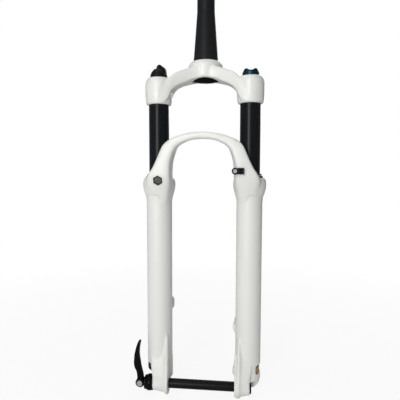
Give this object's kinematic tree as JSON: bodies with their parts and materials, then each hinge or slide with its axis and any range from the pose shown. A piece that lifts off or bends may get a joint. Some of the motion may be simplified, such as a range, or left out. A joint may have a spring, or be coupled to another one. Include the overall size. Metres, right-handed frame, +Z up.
{
  "type": "bicycle suspension fork",
  "caption": "Telescopic bicycle front fork: tapered steerer, arched crown, stanchions in one-piece lower legs with a brace, damper and air spring, and a lever-clamped through axle.",
  "frame": {"origin": "on the steerer axis, at the shoulder of the crown where the lower headset race seats", "axes": "+Z up the steerer, -Y the way the bicycle rides, +X towards the disc brake side"},
  "size_m": [0.2112, 0.0983, 0.794],
  "materials": {
    "white_paint": "gloss white enamel over cast magnesium and forged aluminium",
    "black_steerer": "satin black paint on the tapered steerer",
    "black_stanchion": "gloss black hard-anodised tube",
    "black_anodised": "satin black anodised, machined",
    "black_plastic": "moulded black nylon with a fine matt grain",
    "blue_anodised": "dark blue anodised, machined",
    "bare_aluminium": "turned bare aluminium",
    "bright_steel": "turned and polished steel",
    "brass": "turned brass, slightly tarnished",
    "bushing_bronze": "bronze-backed bushing with a dark low-friction lining",
    "black_rubber": "moulded nitrile rubber",
    "yellow_foam": "oil-soaked open-cell foam",
    "badge_face": "black resin badge with a raised grey ring"
  },
  "bodies": {
    "upper": {"steerer_tube": "black_steerer", "crown": "white_paint", "crown_plug": "black_plastic", "damper_stanchion": "black_stanchion", "air_stanchion": "black_stanchion", "damper_top_cap": "black_anodised", "damper_cartridge": "bare_aluminium", "compression_valve": "bare_aluminium", "cartridge_seal_head": "black_anodised", "air_top_cap": "black_anodised", "air_valve_core": "brass", "air_seal_head": "black_plastic", "seal_head_circlip": "bright_steel"},
    "lowers": {"lower_casting": "white_paint", "damper_upper_bushing": "bushing_bronze", "damper_lower_bushing": "bushing_bronze", "damper_dust_wiper": "black_rubber", "damper_garter_spring": "bright_steel", "damper_oil_seal": "black_rubber", "damper_foam_ring": "yellow_foam", "air_upper_bushing": "bushing_bronze", "air_lower_bushing": "bushing_bronze", "air_dust_wiper": "black_rubber", "air_garter_spring": "bright_steel", "air_oil_seal": "black_rubber", "air_foam_ring": "yellow_foam", "damper_rod": "bright_steel", "damper_piston": "bare_aluminium", "damper_crush_washer": "bare_aluminium", "damper_foot_bolt": "bright_steel", "air_rod": "bright_steel", "air_piston": "black_plastic", "piston_seal_ring": "black_rubber", "top_out_bumper": "black_rubber", "bottom_out_bumper": "black_rubber", "air_foot_washer": "black_rubber", "air_foot_nut": "brass", "hex_badge": "badge_face", "hose_guide": "black_plastic", "hose_guide_screw": "bright_steel", "axle_nut": "black_anodised"},
    "compression_dial": {"compression_knob": "black_anodised", "compression_shaft": "bright_steel"},
    "air_cap_lift": {"air_cap_gasket": "black_rubber"},
    "air_cap_turn": {"air_cap": "blue_anodised"},
    "rebound_dial": {"rebound_knob": "black_plastic", "rebound_needle": "bright_steel"},
    "axle_slide": {"axle_washer": "black_anodised"},
    "axle_unit": {"axle_tube": "black_anodised", "axle_collar": "black_anodised", "cam_seat": "black_plastic", "draw_rod": "bright_steel", "lever_pivot_pin": "bright_steel"},
    "lever": {"axle_lever": "black_anodised"}
  },
  "joints": [
    {"name": "fork_travel", "type": "slide", "parent": "upper", "child": "lowers", "axis": [0, 0, 1], "range_m": [0, 0.1], "stiffness_N_per_m": 7000, "springref_m": -0.02},
    {"name": "compression_turn", "type": "hinge", "parent": "upper", "child": "compression_dial", "pos_m": [-0.0725, -0.028, -0.03], "axis": [0, 0, -1], "range_deg": [0, 90]},
    {"name": "air_cap_pull", "type": "slide", "parent": "upper", "child": "air_cap_lift", "axis": [0, 0, 1], "range_m": [0, 0.03]},
    {"name": "air_cap_spin", "type": "hinge", "parent": "air_cap_lift", "child": "air_cap_turn", "pos_m": [0.0725, -0.028, -0.03], "axis": [0, 0, 1], "continuous": true},
    {"name": "rebound_turn", "type": "hinge", "parent": "lowers", "child": "rebound_dial", "pos_m": [-0.0725, -0.028, -0.498], "axis": [0, 0, -1], "range_deg": [0, 330]},
    {"name": "axle_pull", "type": "slide", "parent": "lowers", "child": "axle_slide", "axis": [-1, 0, 0], "range_m": [0, 0.165]},
    {"name": "axle_spin", "type": "hinge", "parent": "axle_slide", "child": "axle_unit", "pos_m": [0, -0.045, -0.522], "axis": [-1, 0, 0], "continuous": true},
    {"name": "lever_flip", "type": "hinge", "parent": "axle_unit", "child": "lever", "pos_m": [-0.1021, -0.045, -0.522], "axis": [0, -1, 0], "range_deg": [0, 170]}
  ]
}
